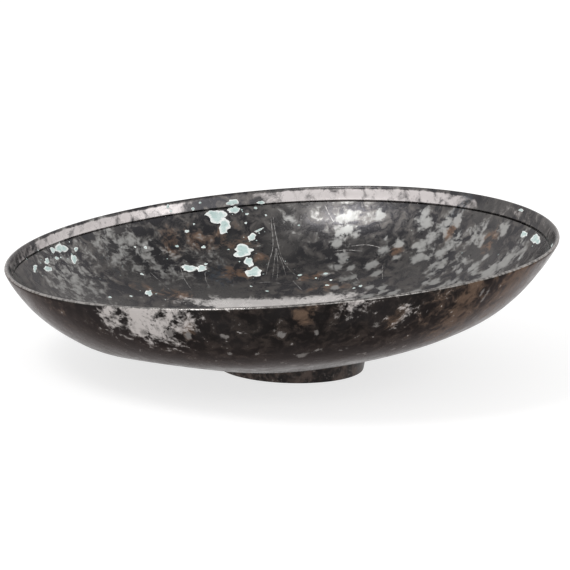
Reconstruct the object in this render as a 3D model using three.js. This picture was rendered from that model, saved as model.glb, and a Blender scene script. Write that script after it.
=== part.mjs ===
// Shallow silver bowl, raised from one sheet, standing on a low ring foot that is soldered on.
// A line is incised inside the lip. The shell sits on its foot a little askew, as a raised bowl does
// when the foot is set by hand: its lip is lower on the -X side, and it is neither quite flat nor
// quite centred over the bottom.
//
// Millimetres and degrees, +Z up. The foot stands on z = 0, and the middle of the whole outline,
// seen from above, is at x = y = 0.

import * as THREE from "three";

// Shell
const rimRadius = 100; // to the outside of the lip
const bowlDepth = 40.5; // from the top of the lip to the lowest point of the outside
const bottomSlope = 20; // slope of the wall where the bottom's arc turns into the shoulder's
const rimSlope = 64; // slope of the wall just below the lip
const wall = 1.1; // thickness of the sheet
const lipThickness = 1.6; // the edge is beaten back on itself, and its top is round
const lipBand = 3; // how far down the inside the thicker edge reaches

// Incised line, a V cut into the inside
const lineDrop = 5.8; // from the top of the lip, along the wall
const lineWidth = 0.55;
const lineDepth = 0.35;

// Ring foot, a strip bent round and closed, cut to the underside of the shell
const footRadius = 26.5; // to the outside of the base
const footThickness = 1.8;
const footFlare = 8; // how far the wall opens upwards, from upright
const footEdge = 0.3; // chamfers of the base
const footHeight = 4.1; // from the base to the underside of the shell, on the foot's own axis
const footOffset = 3.4; // from the shell's lowest point on its axis to the foot's axis, along +X

// Solder between the foot and the shell: a saddle over the foot's top edge with a fillet on each side
const seamThickness = 0.5;
const seamLeg = 1.4; // reach of a fillet, down the foot and along the shell
const seamToe = 0.2; // thickness of a fillet at its thin edge
const gap = 0.3; // clearance between neighbouring pieces

// Handmade irregularity of the upper wall, fading out below the lip
const lean = 4.1; // lean of the shell's axis, towards -X
const lipTilt = 0.9; // tilt of the lip on the shell, in the same sense as the lean
const lipDrift = 2; // the lip stands off the shell's axis, along +X
const driftDepth = 20; // depth below the lip at which tilt and drift have faded out
const waveDepth = 10; // depth at which the waves of the lip have faded out
const lipWaves = [
  { count: 2, height: 0.81, peak: 80 },
  { count: 3, height: 0.29, peak: 45 },
];

// Fineness of the surfaces
const segments = 96; // round the axis
const bottomSteps = 8;
const shoulderSteps = 9;
const lipSteps = 5;
const lipBandSteps = 2;
const filletSteps = 4;
const seamSteps = 3;

const radians = THREE.MathUtils.degToRad;

// Steps from one value to another, both ends included.
function range(from, to, steps) {
  return Array.from({ length: steps + 1 }, (_, i) => from + ((to - from) * i) / steps);
}

// The outside of the shell is two arcs that meet at bottomSlope. Their radii follow from the point
// where the shoulder ends and the round edge of the lip begins.
const junction = radians(bottomSlope);
const rimAngle = radians(rimSlope);
const edgeRadius = rimRadius - (lipThickness / 2) * (1 - Math.sin(rimAngle));
const edgeHeight = bowlDepth - (lipThickness / 2) * (1 + Math.cos(rimAngle));
const [bottomArc, shoulderArc] = arcRadii(edgeRadius, edgeHeight);

function arcRadii(radius, height) {
  const bottomRun = Math.sin(junction);
  const bottomRise = 1 - Math.cos(junction);
  const shoulderRun = Math.sin(rimAngle) - bottomRun;
  const shoulderRise = Math.cos(junction) - Math.cos(rimAngle);
  const determinant = bottomRun * shoulderRise - shoulderRun * bottomRise;
  return [
    (radius * shoulderRise - height * shoulderRun) / determinant,
    (height * bottomRun - radius * bottomRise) / determinant,
  ];
}

// A point of the outside where its slope is the given angle.
function outside(slope) {
  const low = Math.min(slope, junction);
  const radius = bottomArc * Math.sin(low) + shoulderArc * (Math.sin(slope) - Math.sin(low));
  const height = bottomArc * (1 - Math.cos(low)) + shoulderArc * (Math.cos(low) - Math.cos(slope));
  return new THREE.Vector2(radius, height);
}

// The same point, moved into the metal at right angles to the outside.
function inwards(slope, thickness) {
  const inward = new THREE.Vector2(-Math.sin(slope), Math.cos(slope));
  return outside(slope).addScaledVector(inward, thickness);
}

// Thickness of the metal, a distance down the shoulder from where the lip's round edge begins.
function thicknessAt(distance) {
  const fade = THREE.MathUtils.smoothstep(distance, 0, lipBand);
  return lipThickness + (wall - lipThickness) * fade;
}

function shellProfile() {
  const outer = [
    ...range(0, junction, bottomSteps),
    ...range(junction, rimAngle, shoulderSteps).slice(1),
  ].map(outside);

  const edgeMiddle = inwards(rimAngle, lipThickness / 2);
  const edge = range(0, Math.PI, lipSteps).slice(1, -1).map((turn) => {
    const direction = rimAngle - Math.PI / 2 + turn;
    const reach = new THREE.Vector2(Math.cos(direction), Math.sin(direction));
    return edgeMiddle.clone().addScaledVector(reach, lipThickness / 2);
  });

  const band = range(0, lipBand, lipBandSteps).map((distance) =>
    inwards(rimAngle - distance / shoulderArc, thicknessAt(distance)),
  );

  const lineAngle = rimAngle - (lineDrop - lipThickness / 2) / shoulderArc;
  const halfLine = lineWidth / 2 / shoulderArc;
  const line = [
    inwards(lineAngle + halfLine, wall),
    inwards(lineAngle, wall - lineDepth),
    inwards(lineAngle - halfLine, wall),
  ];

  const inner = [
    ...range(lineAngle - halfLine, junction, shoulderSteps).slice(1),
    ...range(junction, 0, bottomSteps).slice(1),
  ].map((slope) => inwards(slope, wall));

  return [...outer, ...edge, ...band, ...line, ...inner];
}

// How much of the lip's irregularity is left at a depth below it.
function remaining(depth, fadeDepth) {
  return 1 - THREE.MathUtils.clamp(depth / fadeDepth, 0, 1);
}

// Moves a point of the even shell to where the uneven one has it.
function makeUneven(point) {
  const depth = bowlDepth - point.z;
  const drift = remaining(depth, driftDepth);
  const around = Math.atan2(point.y, point.x);
  const wave = lipWaves.reduce(
    (sum, { count, height, peak }) => sum + height * Math.cos(count * (around - radians(peak))),
    0,
  );
  point.z += drift * point.x * Math.tan(radians(lipTilt)) + remaining(depth, waveDepth) * wave;
  point.x += drift * lipDrift;
}

function shellGeometry() {
  const geometry = new THREE.LatheGeometry(shellProfile(), segments);
  geometry.rotateX(Math.PI / 2);
  const positions = geometry.getAttribute("position");
  const point = new THREE.Vector3();
  for (let i = 0; i < positions.count; i++) {
    point.fromBufferAttribute(positions, i);
    makeUneven(point);
    positions.setXYZ(i, point.x, point.y, point.z);
  }
  geometry.computeVertexNormals();
  return geometry;
}

// The leaning shell stands with its lowest point on the axis at x = 0. Near the foot its underside
// is part of a sphere.
const sphereX = -bottomArc * Math.sin(radians(lean));
const footAcross = footOffset - sphereX;
const sphereZ = footHeight + Math.sqrt(bottomArc ** 2 - footAcross ** 2);
const shellZ = sphereZ - bottomArc * Math.cos(radians(lean));

// Height of the underside above a point given by its radius and angle about the foot's axis.
function underside(radius, angle) {
  const x = footAcross + radius * Math.cos(angle);
  const y = radius * Math.sin(angle);
  return sphereZ - Math.sqrt(bottomArc ** 2 - x ** 2 - y ** 2);
}

const seamTop = (radius, angle) => underside(radius, angle) - gap;
const seamCrown = (radius, angle) => seamTop(radius, angle) - seamThickness;
const footTop = (radius, angle) => seamCrown(radius, angle) - gap;

// Radius of the foot's outside, and of its inside, at a height above the base.
const footOutside = (height) => footRadius + height * Math.tan(radians(footFlare));
const footInside = (height) => footOutside(height) - footThickness;

function footSection(angle) {
  const outerTop = footTop(footRadius, angle);
  const innerTop = footTop(footRadius - footThickness, angle);
  return [
    [footRadius - footEdge, 0],
    [footOutside(footEdge), footEdge],
    [footOutside(outerTop), footTop(footOutside(outerTop), angle)],
    [footInside(innerTop), footTop(footInside(innerTop), angle)],
    [footInside(footEdge), footEdge],
    [footRadius - footThickness + footEdge, 0],
  ];
}

// Radius of the solder's face against the foot, outside it (side 1) or inside it (side -1).
function seamWall(height, side) {
  return side > 0 ? footOutside(height) + gap : footInside(height) - gap;
}

// One fillet, from the foot's wall out to its thin edge.
function fillet(wallRadius, side, angle) {
  const drop = seamLeg + seamThickness - seamToe;
  return range(0, Math.PI / 2, filletSteps).map((turn) => {
    const radius = wallRadius + side * seamLeg * (1 - Math.cos(turn));
    return [radius, seamTop(radius, angle) - seamToe - drop * (1 - Math.sin(turn))];
  });
}

function seamSection(angle) {
  const crown = seamCrown(footRadius, angle);
  const [outerHigh, innerHigh] = [1, -1].map((side) => seamWall(crown, side));
  const [outerLow, innerLow] = [1, -1].map((side) => seamWall(crown - seamLeg, side));
  const top = range(outerLow + seamLeg, innerLow - seamLeg, seamSteps).map((radius) => [
    radius,
    seamTop(radius, angle),
  ]);
  return [
    ...top,
    ...fillet(innerLow, -1, angle).reverse(),
    [innerHigh, seamCrown(innerHigh, angle)],
    [outerHigh, seamCrown(outerHigh, angle)],
    ...fillet(outerLow, 1, angle),
  ];
}

// A ring whose section, a closed outline of [radius, height] points taken anticlockwise with the
// radius to the right, changes with the angle about the axis.
function ringGeometry(sectionAt) {
  const sections = range(0, 2 * Math.PI, segments).slice(0, -1);
  const positions = sections.flatMap((angle) =>
    sectionAt(angle).flatMap(([radius, height]) => [
      radius * Math.cos(angle),
      radius * Math.sin(angle),
      height,
    ]),
  );
  const count = positions.length / 3 / segments;
  const indices = [];
  for (let i = 0; i < segments; i++) {
    const here = i * count;
    const next = ((i + 1) % segments) * count;
    for (let j = 0; j < count; j++) {
      const k = (j + 1) % count;
      indices.push(here + j, next + j, here + k, here + k, next + j, next + k);
    }
  }
  const geometry = new THREE.BufferGeometry();
  geometry.setAttribute("position", new THREE.Float32BufferAttribute(positions, 3));
  geometry.setIndex(indices);
  geometry.computeVertexNormals();
  return geometry;
}

function piece(name, geometry, color, roughness) {
  const material = new THREE.MeshStandardMaterial({ color, roughness, metalness: 1 });
  const mesh = new THREE.Mesh(geometry, material);
  mesh.name = name;
  return mesh;
}

const shell = new THREE.Group();
shell.rotation.y = -radians(lean);
shell.position.z = shellZ;
shell.add(piece("bowl_shell", shellGeometry(), 0x6e6864, 0.35));

const foot = new THREE.Group();
foot.position.x = footOffset;
foot.add(piece("foot_ring", ringGeometry(footSection), 0x4a4341, 0.5));
foot.add(piece("solder_seam", ringGeometry(seamSection), 0x7d7672, 0.55));

const bowl = new THREE.Group();
bowl.add(shell, foot);

// Centre the outline, seen from above, on x = y = 0.
const centre = new THREE.Box3().setFromObject(bowl, true).getCenter(new THREE.Vector3());
bowl.position.set(-centre.x, -centre.y, 0);

export default bowl;
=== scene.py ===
# Looks of the silver bowl: dense surfaces in place of the faceted ones, old tarnished metal, green
# crusts and engraved strokes. It stands on white paper between white walls, under two soft lamps.
#
# Sizes are in millimetres and degrees until a mesh is made, and those of the camera and the lamps
# in metres. +Z is up, and the foot stands on z = 0. Marks are placed as seen from above, x then y.

import math
import random

import bpy
import numpy as np
from mathutils import Euler, Matrix, Vector
from mathutils.bvhtree import BVHTree


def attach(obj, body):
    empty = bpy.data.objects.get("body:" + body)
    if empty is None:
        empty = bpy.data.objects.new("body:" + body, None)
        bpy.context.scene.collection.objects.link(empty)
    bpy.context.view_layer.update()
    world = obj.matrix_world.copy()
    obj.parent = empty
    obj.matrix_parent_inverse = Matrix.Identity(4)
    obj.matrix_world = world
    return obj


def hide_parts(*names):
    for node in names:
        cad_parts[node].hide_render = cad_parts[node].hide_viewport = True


# Shell, as in the part, but with a finer line and a thicker edge that runs out more gently
RIM_RADIUS = 100
BOWL_DEPTH = 40.5
BOTTOM_SLOPE = 20
RIM_SLOPE = 64
WALL = 1.1
LIP_THICKNESS = 1.6
LIP_BAND = 5
LINE_DROP = 5.8
LINE_WIDTH = 0.22
LINE_DEPTH = 0.1

# Section of the incised line: across it in half widths, and down it in depths
LINE_ACROSS = np.array([1.15, 0.9, 0.3, -0.3, -0.9, -1.15])
LINE_DOWN = np.array([0, 0.1, 1, 1, 0.1, 0])

# Foot and solder, as in the part, but the solder has a thinner edge, and it is run into the foot
# and the sheet
FOOT_RADIUS = 26.5
FOOT_THICKNESS = 1.8
FOOT_FLARE = 8
FOOT_EDGE = 0.3
FOOT_HEIGHT = 4.1
FOOT_OFFSET = 3.4
SEAM_THICKNESS = 0.5
SEAM_LEG = 1.4
SEAM_TOE = 0.1
SEAM_SUNK = 0.05
PART_GAP = 0.3

# Handmade irregularity, as in the part
LEAN = 4.1
LIP_TILT = 0.9
LIP_DRIFT = 2
DRIFT_DEPTH = 20
WAVE_DEPTH = 10
LIP_WAVES = [(2, 0.81, 80), (3, 0.29, 45)]  # count, height, direction of a peak
CENTRE_X = -0.8686  # middle of the outline before the part is centred

# Shallow dents and bulges of the sheet: x, y, radius, rise
DENTS = [
    (-62, -34, 13, -0.7),
    (-34, -42, 13, 0.6),
    (0, -43, 20, -0.45),
    (60, -40, 14, 0.4),
    (40, 20, 12, 0.25),
    (-30, 30, 14, -0.2),
]

# Fineness of the dense surfaces
SEGMENTS = 360
BOTTOM_STEPS = 40
SHOULDER_STEPS = 56
EDGE_STEPS = 10
BAND_STEPS = 6
INNER_STEPS = 52
RING_SEGMENTS = 240
FOOT_EDGE_STEPS = 4
FOOT_OUTER_STEPS = 8
FOOT_INNER_STEPS = 6
SEAM_STEPS = 8
RING_SHARP = 50  # edges of the foot and the solder that turn by more stay sharp
LIP_FADE = 3  # rows of points over which the looks of the outside turn into the inside's
LIP_RUBBED = 2  # rows rubbed bare on each side of the one outside the lip's middle

# Tarnish where it is thin or of another colour, and painted light: x, y, half width, half depth,
# strength
PALE_INSIDE = [
    (25, 89, 15, 6, 0.28),
    (4, 92.5, 3, 2.5, 0.55),
    (57, 67, 6, 4, 0.55),
    (64, 59, 3, 3, 0.5),
    (60, 53, 5, 5, 0.5),
    (57, 50, 3, 3, 0.45),
    (73, 54.6, 3, 4, 0.5),
    (67, 48, 4, 5, 0.45),
    (82, 27, 10, 6, 0.5),
    (74, 29, 12, 6, 0.4),
    (80, 0, 14, 22, 0.35),
    (-53, 70, 22, 10, 0.42),
    (-75, 40, 14, 20, 0.4),
    (-30, 80, 14, 6, 0.25),
    (70, -35, 20, 25, 0.3),
    (-20, -60, 30, 16, 0.3),
]
# Bright silver inside, partly painted light. The two at y = 50.5 are a painted reflection of the
# white room, in the floor just past the near rim. The one at 30, 91 is bare silver with a painted
# highlight of the softbox. The one at -44, 76 is bare silver.
SILVER_AND_PAINTED_LIGHT_INSIDE = [
    (30, 91, 16, 3, 0.2),
    (-8, 50.5, 22, 4, 1.1),
    (13, 50.5, 15, 3.5, 1.0),
    (-44, 76, 5, 4, 0.3),
]
COPPER_INSIDE = [
    (64.6, 65, 4, 3, 0.6),
    (78, 46, 6, 5, 0.5),
    (44, 70.5, 3, 3, 0.6),
    (-40, 80, 6, 7, 0.5),
    (-20, 86, 14, 6, 0.45),
    (-38, 54, 10, 5, 0.5),
    (-50, 54, 12, 6, 0.4),
    (-15, 72, 8, 5, 0.55),
    (-30, 84, 8, 5, 0.5),
    (-6, 80, 5, 5, 0.45),
    (14, 68, 9, 3, 0.5),
    (20, 60, 18, 5, 0.4),
    (-10, 10, 30, 20, 0.3),
    (-30, -60, 14, 8, 0.5),
    (50, -24, 9, 13, 0.5),
    (-70, -20, 8, 12, 0.45),
    (10, -84, 12, 5, 0.5),
]
BLUE_INSIDE = [(-21.5, 70, 8, 8, 0.5), (67, 68.5, 8, 3, 0.5), (-60, 60, 16, 12, 0.25)]
PALE_OUTSIDE = [
    (-50, -86, 13, 7, 0.7),
    (-60, -78, 7, 5, 0.5),
    (-38, -92, 8, 4, 0.55),
    (-41, -85, 5, 4, 0.5),
    (24, -97, 6, 3, 0.4),
    (42, -86, 5, 3, 0.35),
    (60, 62, 22, 20, 0.35),
    (-40, 80, 26, 14, 0.35),
]
BROWN_OUTSIDE = [
    (-33, -90, 3, 4, 0.6),
    (6, -98, 5, 3, 0.6),
    (38, -87, 5, 3, 0.55),
    (63, -73, 8, 7, 0.6),
    (80, -54, 20, 16, 0.6),
    (60, -66, 16, 14, 0.55),
    (50, -80, 12, 8, 0.4),
    (-78, -56, 10, 10, 0.35),
    (20, 80, 30, 20, 0.35),
]
PATCH_FALL = 0.7  # how fast a mark runs out from its middle

# Small scattered spots of thin tarnish: flecks on the outside, and spots on the inside, on the
# wall that the photograph shows best and on the one that the rim hides
GREY_FLECKS = {
    "seed": 3,
    "count": 300,
    "radii": (50, 98),
    "sizes": (0.6, 1.5),
    "directions": (0, 360),
}
SEEN_SPOTS = {
    "seed": 5,
    "count": 150,
    "radii": (42, 95),
    "sizes": (0.9, 2.3),
    "directions": (8, 76),
}
HIDDEN_SPOTS = {
    "seed": 6,
    "count": 70,
    "radii": (45, 95),
    "sizes": (0.9, 2.4),
    "directions": (185, 325),
}
SPOT_STRENGTHS = (0.55, 0.95)
SPOT_STRETCHES = (0.8, 1.3)

# How clean the band between lip and line is, at directions in degrees round the bowl
BAND_LIGHT = [
    (0, 0.25),
    (40, 0.22),
    (52, 0.85),
    (90, 0.9),
    (96, 0.15),
    (108, 0.2),
    (116, 0.85),
    (148, 0.9),
    (162, 0.4),
    (250, 0.5),
    (360, 0.25),
]

# Green crusts on the inside: x, y, two half lengths along the sheet, turn from level
CRUSTS = [
    (-22.7, 92.1, 3.0, 2.2, 20),
    (-24.8, 92.6, 2.6, 1.0, 2),
    (-20.2, 90.3, 2.8, 1.9, 75),
    (-16.7, 94.6, 2.0, 1.2, 1),
    (-17.2, 95.9, 2.2, 0.9, 0),
    (-6.5, 96.8, 1.2, 0.6, 1),
    (-9.7, 88.0, 1.5, 1.3, 81),
    (-7.1, 90.2, 1.5, 0.45, 30),
    (-13.0, 82.8, 3.6, 2.3, 4),
    (-10.7, 78.2, 2.6, 1.3, 89),
    (-8.8, 72.9, 2.8, 2.4, 95),
    (-33.0, 71.9, 2.6, 1.6, 8),
    (-28.4, 72.9, 1.9, 1.3, 19),
    (-80.7, 50.5, 3.0, 1.6, 4),
    (-83.6, 46.2, 1.6, 0.9, 19),
    (-82.0, 44.7, 1.1, 0.6, 11),
    (-85.5, 38.4, 1.7, 0.9, 14),
    (-89.5, 27.7, 2.4, 0.8, 15),
    (-85.0, 35.0, 2.4, 1.0, 0),
    (-75.9, 51.3, 2.0, 1.2, 25),
    (-75.3, 56.0, 1.1, 0.7, 29),
    (89.2, 31.0, 2.4, 1.0, 0),
    (92.8, 19.2, 4.4, 1.6, 0),
    (96.6, -9.1, 2.2, 0.6, 8),
    (88.5, 41.7, 1.6, 0.5, 9),
    (-47.9, 51.7, 2.0, 1.1, 44),
    (-41.7, 88.7, 0.8, 0.6, 64),
]
CRUST_GROWTH = (1.15, 1.2)  # drawn larger than listed by this much, for their thin edges
CRUST_THICKNESS = 0.2
CRUST_HEIGHTS = (0.7, 1.3)  # of a crust, as shares of that thickness
CRUST_LUMPS = (0.7, 1.15)  # of its points, as shares of its height
CRUST_SUNK = 0.03
FULL_SIZE = 1.5  # mean half length from which a crust has its full height
OUTLINE_WAVES = (0.25, 0.6)  # heights of an outline's waves, before their count lowers them
OUTLINE_FALL = 0.7  # how much it does
OUTLINE_WAVINESS = 0.577  # share of them that is taken
LEAST_REACH = 0.25  # of the outline, as a share of the crust's half length
CAST_HEIGHT = 4  # above the sheet, from where the points of a crust are cast onto it
LEAST_FACING = 0.3  # cosine between the sheet's normals at a point and at the crust's middle
CRUST_SEED = 7

# Steps round a crust, its rings, and how often each wave goes round its outline
LARGE = (48, 7, (2, 3, 5, 7))
SMALL = (14, 3, (2, 3))
TINY = (10, 2, (2, 3))

# Crumbs beside each crust
CRUMBS = 3
CRUMB_SIZES = (0.2, 0.5)
CRUMB_GAPS = (0.8, 0.5)  # added to the crust's half lengths
CRUMB_REACH_X = (1.0, 1.4)  # where crumbs lie, as shares of those sums
CRUMB_REACH_Y = (0.6, 1.0)
LIP_CENTRE_X = -1
CRUMB_LIMIT = 96  # from the middle of the lip

# Specks at these places, and more of them scattered over the inside
SPECKS = [
    (-62.1, 40.8),
    (-54.4, 46.3),
    (-40.5, 88.5),
    (-32.2, 91.7),
    (-29.6, 93.3),
    (-53.6, 72.8),
    (-49.7, 74.6),
    (-37.9, 79.8),
    (-50.7, 62.4),
    (-27.9, 82.2),
    (-26.9, 75.4),
    (-31.7, 88.4),
    (-34.3, 85.7),
    (-12.1, 92),
    (-8.5, 95.7),
    (-11.7, 94.2),
    (-4.5, 94.2),
    (8, 90.9),
    (18, 69),
    (19.9, 64.2),
    (8.4, 70),
    (14.4, 66.9),
    (18.4, 61.1),
    (-9.9, 64),
    (-3.9, 60.5),
    (28.3, 55.8),
    (30.8, 56.4),
]
SPECK_SIZES = (0.55, 0.95)
SPECK_WIDTH = 0.8  # of a speck or a crumb, as a share of its length
SCATTERED_SPECKS = 80
SCATTERED_SIZES = (0.12, 0.34)
SCATTERED_RADIUS = 94
SCATTERED_SHARES = (0.15, 0.95)  # of the area within that radius

# Engraved strokes on the inside, each a run of x, y points
STROKES = [
    [(-2.6, 93.9), (-1.7, 85.2), (-3.2, 78.1), (-4.3, 71.2)],
    [(-1.9, 93.9), (-0.2, 86.9), (1.7, 79.8), (4.7, 73.5), (6.9, 70.2)],
    [(-0.6, 84.1), (-1.3, 76.6), (-2.0, 67.9)],
    [(-0.6, 84.1), (0.2, 76.6), (-0.2, 67.7)],
    [(-0.6, 84.1), (1.7, 77.9), (3.2, 70.6)],
    [(-8.4, 66.1), (-2.8, 66.6), (2.4, 64.8)],
    [(5.8, 66.4), (7.6, 62.7), (9.1, 59.7)],
    [(21.6, 79.4), (26.4, 78.4), (31.6, 76.2)],
    [(27.5, 79.6), (32.8, 78.3), (37.6, 75.4), (39.4, 72.9)],
    [(17.7, 94.2), (19.3, 91.9), (21.2, 89.4)],
    [(26.3, 68.7), (28.5, 64.8), (30.6, 59.2)],
    [(39.1, 66.3), (39.0, 62.3), (38.9, 57.8)],
    [(-36.6, 72.4), (-35.0, 66.0), (-31.9, 58.8)],
    [(-27.2, 71.2), (-26.8, 66.7), (-25.2, 61.5)],
    [(-47.7, 64.8), (-43.9, 61.3), (-40.1, 56.7)],
]
STROKE_WIDTH = 0.22
STROKE_LIFT = 0.02  # above the sheet
STROKE_STEPS = 10  # from each point to the next
STROKE_END = 0.15  # width of its ends, as a share
STROKE_TAPER = 0.4  # the less, the blunter the ends

# Colours of the metal, those of the inside first where there are two
BLACK = ((0.052, 0.051, 0.055), (0.011, 0.0098, 0.0095))
BROWN = ((0.140, 0.131, 0.125), (0.037, 0.0295, 0.026))
HAZE = ((0.110, 0.106, 0.104), (0.020, 0.018, 0.018))
COPPER_BROWN = ((0.25, 0.160, 0.112), (0.110, 0.074, 0.053))
PALE_SILVER = ((0.40, 0.40, 0.39), (0.47, 0.44, 0.425))
GLANCING_TINT = ((0.75, 0.74, 0.74), (0.62, 0.59, 0.585))  # of what is seen along the surface
STEEL_BLUE = (0.075, 0.085, 0.100)
DULL_GREY = (0.165, 0.155, 0.148)
# Bare silver, and also the colour of the painted reflection and painted highlight inside
SILVER_AND_PAINTED_LIGHT_COLOUR = (0.74, 0.715, 0.70)
BAND_SILVER = (0.60, 0.565, 0.56)
LIP_SILVER = (0.52, 0.50, 0.48)
PIT_BLACK = (0.012, 0.011, 0.011)
FOOT_BLACK = (0.022, 0.020, 0.020)
FOOT_BROWN = (0.085, 0.066, 0.058)
FOOT_GREY = (0.15, 0.13, 0.12)
SOLDER_DARK = (0.05, 0.046, 0.044)
SOLDER_PALE = (0.16, 0.145, 0.135)
CUT_DARK = (0.15, 0.14, 0.135)
CUT_PALE = (0.54, 0.53, 0.52)

# Colours of the crusts
SEA_GREEN = (0.53, 0.67, 0.65)
MINT = (0.68, 0.79, 0.77)
DEEP_GREEN = (0.33, 0.47, 0.44)
CHALK = (0.90, 0.93, 0.91)

# Camera, turned from looking straight down by these angles about X, Y and Z. The lens and the
# sensor are in millimetres.
CAMERA_PLACE = (-0.0335, -1.75864, 0.42658)
CAMERA_TURN = (77.2892, -1.4926, -0.8042)
LENS = 315.8
SENSOR = 36

# Stage, with the light of the walls and the ceiling as a share of white paper
FLOOR_RADIUS = 5000
FLOOR_SIDES = 96
FLOOR_DROP = -0.05  # below the foot, so that the two faces don't share a plane
FLOOR_COLOUR = (0.42, 0.42, 0.42)
FLOOR_GLOW = 0.72
WALL_LIGHT = 1.03
CEILING_LIGHT = 0.5
WALL_TOP = 0.6  # heights of the direction looked in, from 0 level to 1 straight up
CEILING_EDGE = 0.86
ROOM_COLOUR = (1, 0.99, 0.985)

# Lamps: place, width and height, power in watts
SOFTBOX = ((-0.9, -0.7, 1.7), (0.6, 0.6), 12)
FILL = ((0.9, -1.3, 1.0), (1.4, 0.6), 4)
LAMP_AIM = (0, 0, 0.03)

MM = 0.001
HIGH = 0.2  # metres, a height above the whole bowl
DOWN = Vector((0, 0, -1))

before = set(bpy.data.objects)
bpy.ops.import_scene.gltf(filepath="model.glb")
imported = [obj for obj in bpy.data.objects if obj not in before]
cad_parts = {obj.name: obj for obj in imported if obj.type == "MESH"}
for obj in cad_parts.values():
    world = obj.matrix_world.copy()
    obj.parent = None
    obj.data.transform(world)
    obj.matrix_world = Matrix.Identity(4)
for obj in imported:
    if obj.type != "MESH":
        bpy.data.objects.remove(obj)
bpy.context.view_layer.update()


def spread(first, last, steps):
    """Values from first to last in equal steps, both included."""
    return np.linspace(first, last, steps + 1)


def smooth(value):
    value = np.clip(value, 0, 1)
    return value * value * (3 - 2 * value)


# Profile of the even shell: two arcs that meet at BOTTOM_SLOPE
junction = math.radians(BOTTOM_SLOPE)
rim_angle = math.radians(RIM_SLOPE)


def arc_radii():
    """Radii of the arcs, from the point where the shoulder ends and the lip's edge begins."""
    radius = RIM_RADIUS - LIP_THICKNESS / 2 * (1 - math.sin(rim_angle))
    height = BOWL_DEPTH - LIP_THICKNESS / 2 * (1 + math.cos(rim_angle))
    bottom_run = math.sin(junction)
    bottom_rise = 1 - math.cos(junction)
    shoulder_run = math.sin(rim_angle) - bottom_run
    shoulder_rise = math.cos(junction) - math.cos(rim_angle)
    determinant = bottom_run * shoulder_rise - shoulder_run * bottom_rise
    return (
        (radius * shoulder_rise - height * shoulder_run) / determinant,
        (height * bottom_run - radius * bottom_rise) / determinant,
    )


bottom_arc, shoulder_arc = arc_radii()


def inwards(slope, thickness=0):
    """A point of the profile where its slope is the given angle, that far into the metal."""
    low = np.minimum(slope, junction)
    radius = bottom_arc * np.sin(low) + shoulder_arc * (np.sin(slope) - np.sin(low))
    height = bottom_arc * (1 - np.cos(low)) + shoulder_arc * (np.cos(low) - np.cos(slope))
    return np.stack(
        [radius - thickness * np.sin(slope), height + thickness * np.cos(slope)], axis=-1
    )


def shell_profile():
    """Points (radius, height) from beside the outside's lowest point, over the lip, to the floor."""
    outer = np.concatenate(
        [spread(0, junction, BOTTOM_STEPS)[1:], spread(junction, rim_angle, SHOULDER_STEPS)[1:]]
    )
    turn = spread(0, math.pi, EDGE_STEPS)[1:-1] + rim_angle - math.pi / 2
    reach = np.stack([np.cos(turn), np.sin(turn)], axis=-1)
    edge = inwards(rim_angle, LIP_THICKNESS / 2) + reach * LIP_THICKNESS / 2
    distance = spread(0, LIP_BAND, BAND_STEPS)
    thickness = LIP_THICKNESS + (WALL - LIP_THICKNESS) * smooth(distance / LIP_BAND)
    band = inwards(rim_angle - distance / shoulder_arc, thickness)
    line_angle = rim_angle - (LINE_DROP - LIP_THICKNESS / 2) / shoulder_arc
    half = LINE_WIDTH / 2 / shoulder_arc
    line = inwards(line_angle + LINE_ACROSS * half, WALL - LINE_DOWN * LINE_DEPTH)
    shoulder = spread(line_angle - 2 * half, junction, INNER_STEPS)
    bottom = spread(junction, 0, INNER_STEPS)[1:-1]
    inner = inwards(np.concatenate([shoulder, bottom]), WALL)
    return np.concatenate([inwards(outer), edge, band, line, inner])


# Rows of that profile where the lip's edge, the band inside it and the line begin, and the row
# in the middle of the edge
edge_row = BOTTOM_STEPS + SHOULDER_STEPS
band_row = edge_row + EDGE_STEPS - 1
line_row = band_row + BAND_STEPS + 1
lip_row = (edge_row + band_row) / 2


def remaining(depth, fade_depth):
    """How much of the lip's irregularity is left at a depth below it."""
    return 1 - np.clip(depth / fade_depth, 0, 1)


def dent_rise(x, y):
    """How far the dents and bulges lift the sheet there."""
    rise = 0
    for dent_x, dent_y, radius, height in DENTS:
        distance = ((x - dent_x) ** 2 + (y - dent_y) ** 2) / radius**2
        rise = rise + height * np.exp(-distance)
    return rise


# The leaning shell stands with its lowest point on the axis at x = 0. Near the foot its underside
# is part of a sphere.
lean = math.radians(LEAN)
foot_across = FOOT_OFFSET + bottom_arc * math.sin(lean)
sphere_z = FOOT_HEIGHT + math.sqrt(bottom_arc**2 - foot_across**2)
shell_z = sphere_z - bottom_arc * math.cos(lean)


def place_shell(points):
    """Moves points of the even, upright shell to where the uneven, leaning one has them."""
    x, y, z = points[:, 0].copy(), points[:, 1], points[:, 2].copy()
    depth = BOWL_DEPTH - z
    drift = remaining(depth, DRIFT_DEPTH)
    around = np.arctan2(y, x)
    wave = 0
    for count, height, peak in LIP_WAVES:
        wave = wave + height * np.cos(count * (around - math.radians(peak)))
    z += drift * x * math.tan(math.radians(LIP_TILT)) + remaining(depth, WAVE_DEPTH) * wave
    x += drift * LIP_DRIFT
    world_x = x * math.cos(lean) - z * math.sin(lean) - CENTRE_X
    world_z = x * math.sin(lean) + z * math.cos(lean) + shell_z
    return np.stack([world_x, y, world_z + dent_rise(world_x, y)], axis=-1)


# Meshes
def new_object(name, points, faces):
    """An object with smooth shading, from points in millimetres."""
    mesh = bpy.data.meshes.new(name)
    mesh.from_pydata([tuple(point) for point in np.asarray(points) * MM], [], faces)
    mesh.update()
    mesh.polygons.foreach_set("use_smooth", [True] * len(mesh.polygons))
    piece = bpy.data.objects.new(name, mesh)
    bpy.context.scene.collection.objects.link(piece)
    return piece


def give(piece, name, values):
    """A number for each point of the mesh, which the material reads."""
    layer = piece.data.attributes.new(name, "FLOAT", "POINT")
    layer.data.foreach_set("value", np.asarray(values, np.float32))


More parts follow.
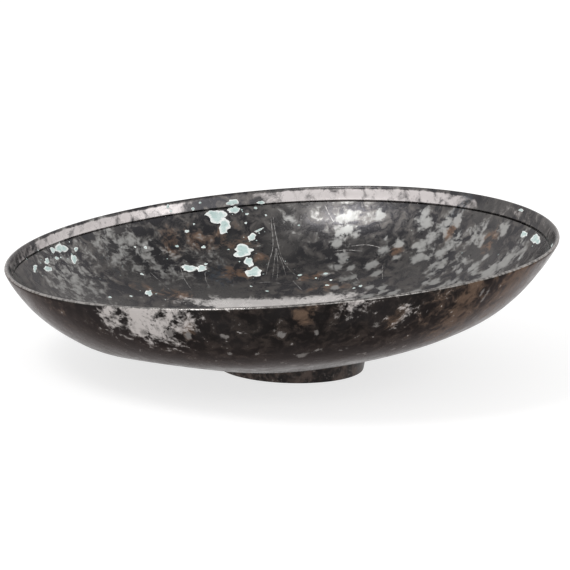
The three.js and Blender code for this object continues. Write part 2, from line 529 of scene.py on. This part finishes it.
def patches(x, y, places):
    """How much each point lies in the given places, from 0 to 1."""
    amount = np.zeros(len(x))
    for place_x, place_y, width, depth, strength in places:
        distance = ((x - place_x) / width) ** 2 + ((y - place_y) / depth) ** 2
        amount = np.maximum(amount, strength * np.exp(-PATCH_FALL * distance))
    return amount


def scattered(seed, count, radii, sizes, directions):
    """Places for patches(), spread at random between two radii and two directions."""
    rng = random.Random(seed)
    places = []
    for _ in range(count):
        angle = math.radians(rng.uniform(*directions))
        radius = rng.uniform(*radii)
        size = rng.uniform(*sizes)
        strength = rng.uniform(*SPOT_STRENGTHS)
        x, y = radius * math.cos(angle), radius * math.sin(angle)
        places.append((x, y, size * rng.uniform(*SPOT_STRETCHES), size, strength))
    return places


def shell_faces(rows):
    """Faces of a grid of that many rows round the axis, closed by a point at each end."""
    faces = []
    for i in range(rows - 1):
        low, high = i * SEGMENTS, (i + 1) * SEGMENTS
        for j in range(SEGMENTS):
            k = (j + 1) % SEGMENTS
            faces.append((low + j, low + k, high + k, high + j))
    last = (rows - 1) * SEGMENTS
    outer_end = rows * SEGMENTS
    for j in range(SEGMENTS):
        k = (j + 1) % SEGMENTS
        faces.append((outer_end, k, j))
        faces.append((last + j, last + k, outer_end + 1))
    return faces


def paint_shell(piece, x, y, row_count):
    """Says where the outside, the lip and the band above the line are, and where the marks lie."""
    rows = np.append(np.repeat(np.arange(row_count), SEGMENTS), [0, row_count - 1])
    outside = np.clip((lip_row - rows) / LIP_FADE, 0, 1)
    on_band = (rows > band_row) & (rows <= line_row)
    light = np.interp(np.degrees(np.arctan2(y, x)) % 360, *zip(*BAND_LIGHT))
    give(piece, "outside", outside)
    give(piece, "lip", abs(rows - lip_row + 1) <= LIP_RUBBED)
    give(piece, "band", on_band * light)
    pale_inside = PALE_INSIDE + scattered(**SEEN_SPOTS) + scattered(**HIDDEN_SPOTS)
    marks = {
        "fleck": (scattered(**GREY_FLECKS), []),
        "pale": (PALE_OUTSIDE, pale_inside),
        "silver_and_painted_light": ([], SILVER_AND_PAINTED_LIGHT_INSIDE),
        "brown": (BROWN_OUTSIDE, COPPER_INSIDE),
        "blue": ([], BLUE_INSIDE),
    }
    for name, (outer, inner) in marks.items():
        give(piece, name, patches(x, y, outer) * outside + patches(x, y, inner) * (1 - outside))


def shell():
    profile = shell_profile()
    angles = spread(0, 2 * math.pi, SEGMENTS)[:-1]
    radius, height = profile[:, :1], profile[:, 1:]
    grid = np.stack(
        [radius * np.cos(angles), radius * np.sin(angles), height * np.ones(SEGMENTS)], axis=-1
    )
    ends = [(0, 0, 0), (0, 0, WALL)]
    points = place_shell(np.concatenate([grid.reshape(-1, 3), ends]))
    piece = new_object("shell", points, shell_faces(len(profile)))
    paint_shell(piece, points[:, 0], points[:, 1], len(profile))
    return piece


# Foot and solder, round the foot's own axis
def underside(radius, angle):
    """Height of the sheet's underside."""
    x = foot_across + radius * math.cos(angle)
    y = radius * math.sin(angle)
    height = sphere_z - math.sqrt(bottom_arc**2 - x**2 - y**2)
    return height + float(dent_rise(radius * math.cos(angle) + FOOT_OFFSET - CENTRE_X, y))


def foot_outside(height):
    return FOOT_RADIUS + height * math.tan(math.radians(FOOT_FLARE))


def foot_inside(height):
    return foot_outside(height) - FOOT_THICKNESS


def foot_section(angle):
    """The foot, from its base up the outside and down the inside."""
    top = underside(FOOT_RADIUS, angle) - PART_GAP
    inner_top = underside(FOOT_RADIUS - FOOT_THICKNESS, angle) - PART_GAP
    base = FOOT_RADIUS - FOOT_EDGE
    round_edge = [
        (base + FOOT_EDGE * math.sin(turn), FOOT_EDGE * (1 - math.cos(turn)))
        for turn in spread(0, math.pi / 2, FOOT_EDGE_STEPS)
    ]
    outer_heights = spread(FOOT_EDGE, top, FOOT_OUTER_STEPS)[1:]
    inner_heights = spread(inner_top, FOOT_EDGE, FOOT_INNER_STEPS)
    outer = [(foot_outside(height), height) for height in outer_heights]
    inner = [(foot_inside(height), height) for height in inner_heights]
    return round_edge + outer + inner + [(FOOT_RADIUS - FOOT_THICKNESS + FOOT_EDGE, 0)]


def fillet(wall, side, angle):
    """The hollow of the solder, from the foot's wall to its thin edge on side 1 or -1 of it."""
    drop = SEAM_LEG + SEAM_THICKNESS - SEAM_TOE
    points = []
    for turn in spread(0, math.pi / 2, SEAM_STEPS):
        radius = wall + side * SEAM_LEG * (1 - math.cos(turn))
        height = underside(radius, angle) - SEAM_TOE - drop * (1 - math.sin(turn))
        points.append((radius, height))
    return points


def seam_section(angle):
    """The solder, with its top just inside the sheet and its walls just inside the foot."""
    crown = underside(FOOT_RADIUS, angle) - SEAM_THICKNESS - PART_GAP
    outer = foot_outside(crown - SEAM_LEG) - SEAM_SUNK
    inner = foot_inside(crown - SEAM_LEG) + SEAM_SUNK
    top = [
        (radius, underside(radius, angle) + SEAM_SUNK)
        for radius in spread(outer + SEAM_LEG, inner - SEAM_LEG, SEAM_STEPS)
    ]
    return top + fillet(inner, -1, angle)[::-1] + fillet(outer, 1, angle)


def ring(name, section_at):
    """A ring whose section, a closed outline of (radius, height), changes round the axis."""
    points = []
    for angle in spread(0, 2 * math.pi, RING_SEGMENTS)[:-1]:
        for radius, height in section_at(angle):
            x = radius * math.cos(angle) + FOOT_OFFSET - CENTRE_X
            points.append((x, radius * math.sin(angle), height))
    count = len(points) // RING_SEGMENTS
    faces = []
    for i in range(RING_SEGMENTS):
        here, after = i * count, (i + 1) % RING_SEGMENTS * count
        for j in range(count):
            k = (j + 1) % count
            faces.append((here + j, after + j, after + k, here + k))
    piece = new_object(name, points, faces)
    piece.data.set_sharp_from_angle(angle=math.radians(RING_SHARP))
    return piece


# Crusts and strokes lie on the inside of the shell
class Inside:
    def __init__(self, piece):
        mesh = piece.data
        corners = [vertex.co for vertex in mesh.vertices]
        self.tree = BVHTree.FromPolygons(corners, [face.vertices for face in mesh.polygons])

    def under(self, x, y):
        """The place of the sheet at x, y, in metres, and its normal."""
        place, normal, _, _ = self.tree.ray_cast(Vector((x * MM, y * MM, HIGH)), DOWN)
        return place, normal

    def at(self, x, y, lift):
        """The point that far above the sheet at x, y."""
        place, normal = self.under(x, y)
        return (place + normal * lift * MM) / MM

    def directions(self, x, y):
        """A point of the sheet, the level direction along it there, the one up it, and its normal."""
        place, normal = self.under(x, y)
        level = Vector((0, 0, 1)).cross(normal).normalized()
        return place / MM, level, normal.cross(level), normal

    def near(self, place, normal, lift):
        """The point that far above the sheet beside place, or None where the sheet turns away."""
        start = (place + normal * CAST_HEIGHT) * MM
        found, facing, _, _ = self.tree.ray_cast(start, -normal, 2 * CAST_HEIGHT * MM)
        if found is None or facing.dot(normal) < LEAST_FACING:
            return None
        return (found + facing * lift * MM) / MM


class Crusts:
    """All crusts, gathered in one mesh. edges has 0 in the middle of a crust and 1 at its edge."""

    def __init__(self, surface):
        self.surface = surface
        self.rng = random.Random(CRUST_SEED)
        self.points = []
        self.faces = []
        self.edges = []

    def wavy_outline(self, counts):
        """How far the outline is from the crust's middle at an angle, about 1."""
        waves = []
        for count in counts:
            height = self.rng.uniform(*OUTLINE_WAVES) / count**OUTLINE_FALL
            waves.append((count, height, self.rng.uniform(0, 2 * math.pi)))

        def reach(angle):
            wave = sum(height * math.sin(count * angle + start) for count, height, start in waves)
            return max(LEAST_REACH, 1 + OUTLINE_WAVINESS * wave)

        return reach

    def add(self, x, y, size, turn, fineness):
        """One crust of two half lengths, left out where it would reach past the lip."""
        length, width = size
        steps, rings, counts = fineness
        outline = self.wavy_outline(counts)
        centre, level, upwards, normal = self.surface.directions(x, y)
        long_way = level * math.cos(math.radians(turn)) + upwards * math.sin(math.radians(turn))
        half_length = long_way * length
        half_width = normal.cross(long_way) * width
        full = min(1, math.sqrt(length * width) / FULL_SIZE)
        height = CRUST_THICKNESS * self.rng.uniform(*CRUST_HEIGHTS) * full
        grid = [(0, 0.0)]
        for share in spread(0, 1, rings)[1:]:
            grid += [(share, angle) for angle in spread(0, 2 * math.pi, steps)[:-1]]
        places = []
        for share, angle in grid:
            reach = share * outline(angle)
            across = half_length * reach * math.cos(angle) + half_width * reach * math.sin(angle)
            lift = height * (1 - share**4) * self.rng.uniform(*CRUST_LUMPS) - CRUST_SUNK
            place = self.surface.near(centre + across, normal, lift)
            if place is None:
                return
            places.append(place)
        self.add_faces(len(self.points), steps, rings)
        self.points += places
        self.edges += [share for share, _ in grid]

    def add_faces(self, start, steps, rings):
        for j in range(steps):
            k = (j + 1) % steps
            self.faces.append((start, start + 1 + j, start + 1 + k))
            for i in range(rings - 1):
                low = start + 1 + i * steps
                self.faces.append((low + j, low + steps + j, low + steps + k, low + k))

    def add_large(self, x, y, length, width, turn):
        size = (length * CRUST_GROWTH[0], width * CRUST_GROWTH[1])
        self.add(x, y, size, turn, LARGE)
        for _ in range(CRUMBS):
            self.add_crumb(x, y, length + CRUMB_GAPS[0], width + CRUMB_GAPS[1])

    def add_crumb(self, x, y, reach_x, reach_y):
        angle = self.rng.uniform(0, 2 * math.pi)
        size = self.rng.uniform(*CRUMB_SIZES)
        near_x = x + reach_x * self.rng.uniform(*CRUMB_REACH_X) * math.cos(angle)
        near_y = y + reach_y * self.rng.uniform(*CRUMB_REACH_Y) * math.sin(angle)
        if math.hypot(near_x - LIP_CENTRE_X, near_y) < CRUMB_LIMIT:
            self.add(near_x, near_y, (size, size * SPECK_WIDTH), 0, SMALL)

    def add_speck(self, x, y):
        size = self.rng.uniform(*SPECK_SIZES)
        self.add(x, y, (size, size * SPECK_WIDTH), 0, SMALL)

    def scatter_speck(self):
        angle = self.rng.uniform(0, 2 * math.pi)
        radius = SCATTERED_RADIUS * math.sqrt(self.rng.uniform(*SCATTERED_SHARES))
        size = self.rng.uniform(*SCATTERED_SIZES)
        self.add(radius * math.cos(angle), radius * math.sin(angle), (size, size), 0, TINY)


def crusts(surface):
    made = Crusts(surface)
    for crust in CRUSTS:
        made.add_large(*crust)
    for place in SPECKS:
        made.add_speck(*place)
    for _ in range(SCATTERED_SPECKS):
        made.scatter_speck()
    piece = new_object("green_crusts", made.points, made.faces)
    give(piece, "edge", made.edges)
    return piece


def smooth_run(marks, steps):
    """Points along a rounded run through the marks."""
    marks = [np.array(mark, float) for mark in marks]
    ends = [2 * marks[0] - marks[1]] + marks + [2 * marks[-1] - marks[-2]]
    run = []
    for before, first, last, after in zip(ends, ends[1:], ends[2:], ends[3:]):
        linear = last - before
        squared = 2 * before - 5 * first + 4 * last - after
        cubed = 3 * first - before - 3 * last + after
        for t in spread(0, 1, steps)[:-1]:
            run.append(0.5 * (2 * first + linear * t + squared * t**2 + cubed * t**3))
    return run + [marks[-1]]


def strokes(surface):
    """Burnished floors of the engraved cuts, as thin strips that follow the sheet."""
    points, faces = [], []
    for marks in STROKES:
        run = smooth_run(marks, STROKE_STEPS)
        start = len(points)
        for i, place in enumerate(run):
            along = run[min(i + 1, len(run) - 1)] - run[max(i - 1, 0)]
            across = np.array([-along[1], along[0]]) / np.hypot(*along)
            taper = max(STROKE_END, math.sin(math.pi * (i + 0.5) / len(run)) ** STROKE_TAPER)
            for side in (-1, 1):
                edge = place + across * STROKE_WIDTH / 2 * taper * side
                points.append(surface.at(edge[0], edge[1], STROKE_LIFT))
        for i in range(len(run) - 1):
            low = start + 2 * i
            faces.append((low, low + 1, low + 3, low + 2))
    return new_object("engraved_strokes", points, faces)


# Materials
class Nodes:
    """Short ways to make the nodes of one material. The scale of a noise is per metre."""

    def __init__(self, name):
        self.material = bpy.data.materials.new(name)
        self.material.use_nodes = True
        self.tree = self.material.node_tree
        self.shader = self.tree.nodes["Principled BSDF"]
        self.place = self.tree.nodes.new("ShaderNodeTexCoord").outputs["Object"]

    def put(self, socket, value):
        """Links a socket, or sets a number or a colour of three."""
        if isinstance(value, bpy.types.NodeSocket):
            self.tree.links.new(value, socket)
        elif isinstance(value, tuple):
            socket.default_value = (*value, 1)
        else:
            socket.default_value = value

    def set(self, name, value):
        self.put(self.shader.inputs[name], value)

    def noise(self, scale, detail, rough=0.55, distortion=0.0):
        node = self.tree.nodes.new("ShaderNodeTexNoise")
        self.put(node.inputs["Vector"], self.place)
        node.inputs["Scale"].default_value = scale
        node.inputs["Detail"].default_value = detail
        node.inputs["Roughness"].default_value = rough
        node.inputs["Distortion"].default_value = distortion
        return node.outputs["Fac"]

    def cells(self, scale):
        node = self.tree.nodes.new("ShaderNodeTexVoronoi")
        self.put(node.inputs["Vector"], self.place)
        node.inputs["Scale"].default_value = scale
        return node.outputs["Distance"]

    def painted(self, name):
        """The number of that name that the mesh gives."""
        node = self.tree.nodes.new("ShaderNodeAttribute")
        node.attribute_name = name
        return node.outputs["Fac"]

    def maths(self, operation, a, b):
        node = self.tree.nodes.new("ShaderNodeMath")
        node.operation = operation
        self.put(node.inputs[0], a)
        self.put(node.inputs[1], b)
        return node.outputs[0]

    def plus(self, a, b):
        return self.maths("ADD", a, b)

    def times(self, a, b):
        return self.maths("MULTIPLY", a, b)

    def steered(self, noise, name, weight):
        """The noise, raised where the mesh's number of that name is high."""
        return self.plus(self.times(self.painted(name), weight), noise)

    def ragged(self, value, noise, amount):
        """The value, with the noise added to it about its middle."""
        return self.plus(value, self.times(self.maths("SUBTRACT", noise, 0.5), amount))

    def step(self, value, low, high, first=0.0, last=1.0):
        """first below low, last above high, and smooth between them."""
        node = self.tree.nodes.new("ShaderNodeMapRange")
        node.interpolation_type = "SMOOTHSTEP"
        self.put(node.inputs["Value"], value)
        node.inputs["From Min"].default_value = low
        node.inputs["From Max"].default_value = high
        node.inputs["To Min"].default_value = first
        node.inputs["To Max"].default_value = last
        return node.outputs["Result"]

    def mix(self, share, a, b):
        node = self.tree.nodes.new("ShaderNodeMix")
        node.data_type = "RGBA"
        self.put(node.inputs[0], share)
        self.put(node.inputs[6], a)
        self.put(node.inputs[7], b)
        return node.outputs[2]

    def bump(self, height, distance, strength, below=None):
        """The normal over a relief that deep, in metres, on top of the normal below."""
        node = self.tree.nodes.new("ShaderNodeBump")
        node.inputs["Strength"].default_value = strength
        node.inputs["Distance"].default_value = distance
        self.put(node.inputs["Height"], height)
        if below is not None:
            self.put(node.inputs["Normal"], below)
        return node.outputs["Normal"]


def base_metal(nodes, outside, blotch):
    """Black to brown under a haze, darker and a little warmer outside."""
    black = nodes.mix(outside, *BLACK)
    brown = nodes.mix(outside, *BROWN)
    metal = nodes.mix(nodes.step(blotch, 0.42, 0.62), black, brown)
    broad = nodes.noise(45, detail=4, rough=0.5, distortion=0.3)
    return nodes.mix(nodes.step(broad, 0.45, 0.65, 0.0, 0.7), metal, nodes.mix(outside, *HAZE))


def coloured_tarnish(nodes, metal, outside, blotch, fine):
    warm = nodes.steered(blotch, "brown", 0.75)
    metal = nodes.mix(nodes.step(warm, 0.74, 1.0), metal, nodes.mix(outside, *COPPER_BROWN))
    cool = nodes.steered(fine, "blue", 0.6)
    return nodes.mix(nodes.step(cool, 0.68, 0.92), metal, STEEL_BLUE)


def paler_silver_and_painted_light(nodes, metal, blotch, fine):
    """Grey flecks, bright bare silver with a painted reflection and a painted highlight inside, the
    clean band above the line and the rubbed lip.
    """
    dull = nodes.steered(blotch, "fleck", 0.5)
    metal = nodes.mix(nodes.step(dull, 0.7, 0.86), metal, DULL_GREY)
    # Bright bare silver, and a painted reflection and a painted highlight where the inside's list
    # puts them
    silver_and_painted_light_mask = nodes.ragged(nodes.steered(blotch, "silver_and_painted_light", 0.62), fine, 0.5)
    metal = nodes.mix(nodes.step(silver_and_painted_light_mask, 0.66, 0.95), metal, SILVER_AND_PAINTED_LIGHT_COLOUR)
    band = nodes.painted("band")
    ragged_band = nodes.step(nodes.ragged(band, blotch, 2.2), 0.3, 0.95)
    metal = nodes.mix(nodes.times(ragged_band, nodes.step(band, 0.05, 0.25)), metal, BAND_SILVER)
    rubbed = nodes.times(nodes.painted("lip"), nodes.step(fine, 0.35, 0.6, 0.15, 0.7))
    return nodes.mix(rubbed, metal, LIP_SILVER)


def pitted(nodes, metal):
    """Small black pits, in some places only."""
    pits = nodes.step(nodes.cells(330), 0.10, 0.2, 0.45, 0.0)
    some_places = nodes.step(nodes.noise(90, detail=2), 0.5, 0.6)
    return nodes.mix(nodes.times(some_places, pits), metal, PIT_BLACK)


def tarnished_silver():
    nodes = Nodes("tarnished silver")
    outside = nodes.painted("outside")
    blotch = nodes.noise(230, detail=8, rough=0.64, distortion=0.5)
    fine = nodes.noise(620, detail=5, rough=0.6)
    grain = nodes.noise(2400, detail=3, rough=0.6)

    metal = base_metal(nodes, outside, blotch)
    metal = coloured_tarnish(nodes, metal, outside, blotch, fine)
    thin = nodes.ragged(nodes.steered(blotch, "pale", 0.55), fine, 0.45)
    pale = nodes.step(thin, 0.63, 0.85, 0.0, 0.95)
    metal = nodes.mix(pale, metal, nodes.mix(outside, *PALE_SILVER))
    metal = paler_silver_and_painted_light(nodes, metal, blotch, fine)
    nodes.set("Base Color", pitted(nodes, metal))
    nodes.set("Metallic", 1.0)
    nodes.set("Specular Tint", nodes.mix(outside, *GLANCING_TINT))

    rough = nodes.plus(nodes.step(blotch, 0.35, 0.7, 0.2, 0.34), nodes.times(pale, 0.12))
    rough = nodes.maths("SUBTRACT", rough, nodes.times(outside, 0.08))
    nodes.set("Roughness", nodes.plus(rough, nodes.times(grain, 0.08)))
    hammered = nodes.bump(nodes.noise(75, detail=2, rough=0.4), 0.0006, 0.5)
    uneven = nodes.bump(blotch, 0.00012, 0.6, hammered)
    nodes.set("Normal", nodes.bump(fine, 0.00005, 0.5, uneven))
    return nodes.material


def dark_silver():
    nodes = Nodes("dark silver")
    blotch = nodes.noise(190, detail=6, rough=0.6, distortion=0.3)
    fine = nodes.noise(800, detail=4, rough=0.6)
    metal = nodes.mix(nodes.step(blotch, 0.42, 0.62), FOOT_BLACK, FOOT_BROWN)
    nodes.set("Base Color", nodes.mix(nodes.step(fine, 0.55, 0.75), metal, FOOT_GREY))
    nodes.set("Metallic", 1.0)
    nodes.set("Roughness", nodes.step(blotch, 0.3, 0.7, 0.34, 0.5))
    nodes.set("Normal", nodes.bump(fine, 0.00006, 0.6, nodes.bump(blotch, 0.0002, 0.6)))
    return nodes.material


def solder():
    nodes = Nodes("solder")
    lumps = nodes.noise(420, detail=5, rough=0.6)
    nodes.set("Base Color", nodes.mix(nodes.step(lumps, 0.4, 0.65), SOLDER_DARK, SOLDER_PALE))
    nodes.set("Metallic", 1.0)
    nodes.set("Roughness", nodes.step(lumps, 0.3, 0.7, 0.42, 0.6))
    nodes.set("Normal", nodes.bump(lumps, 0.00025, 0.8))
    return nodes.material


def green_crust():
    nodes = Nodes("green crust")
    grains = nodes.noise(1500, detail=5, rough=0.65)
    clouds = nodes.noise(420, detail=4, rough=0.6)
    rim = nodes.ragged(nodes.painted("edge"), clouds, 1.2)
    colour = nodes.mix(nodes.step(clouds, 0.4, 0.62), SEA_GREEN, MINT)
    colour = nodes.mix(nodes.step(grains, 0.56, 0.7), colour, DEEP_GREEN)
    nodes.set("Base Color", nodes.mix(nodes.step(rim, 0.5, 0.9), colour, CHALK))
    nodes.set("Metallic", 0.0)
    nodes.set("Roughness", 0.85)
    nodes.set("Specular IOR Level", 0.25)
    nodes.set("Normal", nodes.bump(grains, 0.0002, 0.9))
    return nodes.material


def cut_silver():
    nodes = Nodes("cut silver")
    worn = nodes.noise(700, detail=4, rough=0.6)
    nodes.set("Base Color", nodes.mix(nodes.step(worn, 0.4, 0.6), CUT_DARK, CUT_PALE))
    nodes.set("Metallic", 1.0)
    nodes.set("Roughness", 0.42)
    nodes.set("Normal", nodes.bump(worn, 0.00004, 0.6))
    return nodes.material


def white_paper():
    nodes = Nodes("white floor")
    nodes.set("Base Color", FLOOR_COLOUR)
    nodes.set("Roughness", 0.9)
    nodes.set("Specular IOR Level", 0.0)
    nodes.set("Emission Color", (1, 1, 1))
    nodes.set("Emission Strength", FLOOR_GLOW)
    return nodes.material


# Stage
def floor():
    """A round of white paper under the bowl."""
    edge = [
        (FLOOR_RADIUS * math.cos(angle), FLOOR_RADIUS * math.sin(angle), FLOOR_DROP)
        for angle in spread(0, 2 * math.pi, FLOOR_SIDES)[:-1]
    ]
    paper = new_object("paper", edge, [list(range(FLOOR_SIDES))])
    paper.data.materials.append(white_paper())


def studio():
    """White walls all round under a grey ceiling."""
    world = bpy.data.worlds.new("studio")
    world.use_nodes = True
    tree = world.node_tree
    place = tree.nodes.new("ShaderNodeTexCoord")
    split = tree.nodes.new("ShaderNodeSeparateXYZ")
    tree.links.new(place.outputs["Generated"], split.inputs["Vector"])
    light = tree.nodes.new("ShaderNodeMapRange")
    light.interpolation_type = "SMOOTHSTEP"
    tree.links.new(split.outputs["Z"], light.inputs["Value"])
    light.inputs["From Min"].default_value = WALL_TOP
    light.inputs["From Max"].default_value = CEILING_EDGE
    light.inputs["To Min"].default_value = WALL_LIGHT
    light.inputs["To Max"].default_value = CEILING_LIGHT
    tree.links.new(light.outputs["Result"], tree.nodes["Background"].inputs["Strength"])
    tree.nodes["Background"].inputs["Color"].default_value = (*ROOM_COLOUR, 1)
    return world


def lamp(name, place, size, power):
    data = bpy.data.lights.new(name, "AREA")
    data.shape = "RECTANGLE"
    data.size, data.size_y = size
    data.energy = power
    light = bpy.data.objects.new(name, data)
    light.location = place
    aim = Vector(LAMP_AIM) - Vector(place)
    light.rotation_euler = aim.to_track_quat("-Z", "Y").to_euler()
    bpy.context.scene.collection.objects.link(light)


def camera():
    data = bpy.data.cameras.new("camera")
    data.lens = LENS
    data.sensor_width = SENSOR
    view = bpy.data.objects.new("camera", data)
    turn = Euler([math.radians(angle) for angle in CAMERA_TURN])
    view.matrix_world = Matrix.Translation(CAMERA_PLACE) @ turn.to_matrix().to_4x4()
    bpy.context.scene.collection.objects.link(view)
    bpy.context.scene.camera = view


def dress(piece, material, node=None):
    """Gives a piece its material, and hides the part's solid that it stands in for, if any."""
    piece.data.materials.append(material)
    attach(piece, "root")
    if node:
        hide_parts(node)


bowl = shell()
inside = Inside(bowl)
crust = crusts(inside)
cuts = strokes(inside)
foot = ring("foot", foot_section)
seam = ring("seam", seam_section)
dress(bowl, tarnished_silver(), "bowl_shell")
dress(foot, dark_silver(), "foot_ring")
dress(seam, solder(), "solder_seam")
dress(crust, green_crust())
dress(cuts, cut_silver())

floor()
lamp("softbox", *SOFTBOX)
lamp("fill", *FILL)
bpy.context.scene.world = studio()
bpy.context.scene.view_settings.view_transform = "Standard"
camera()
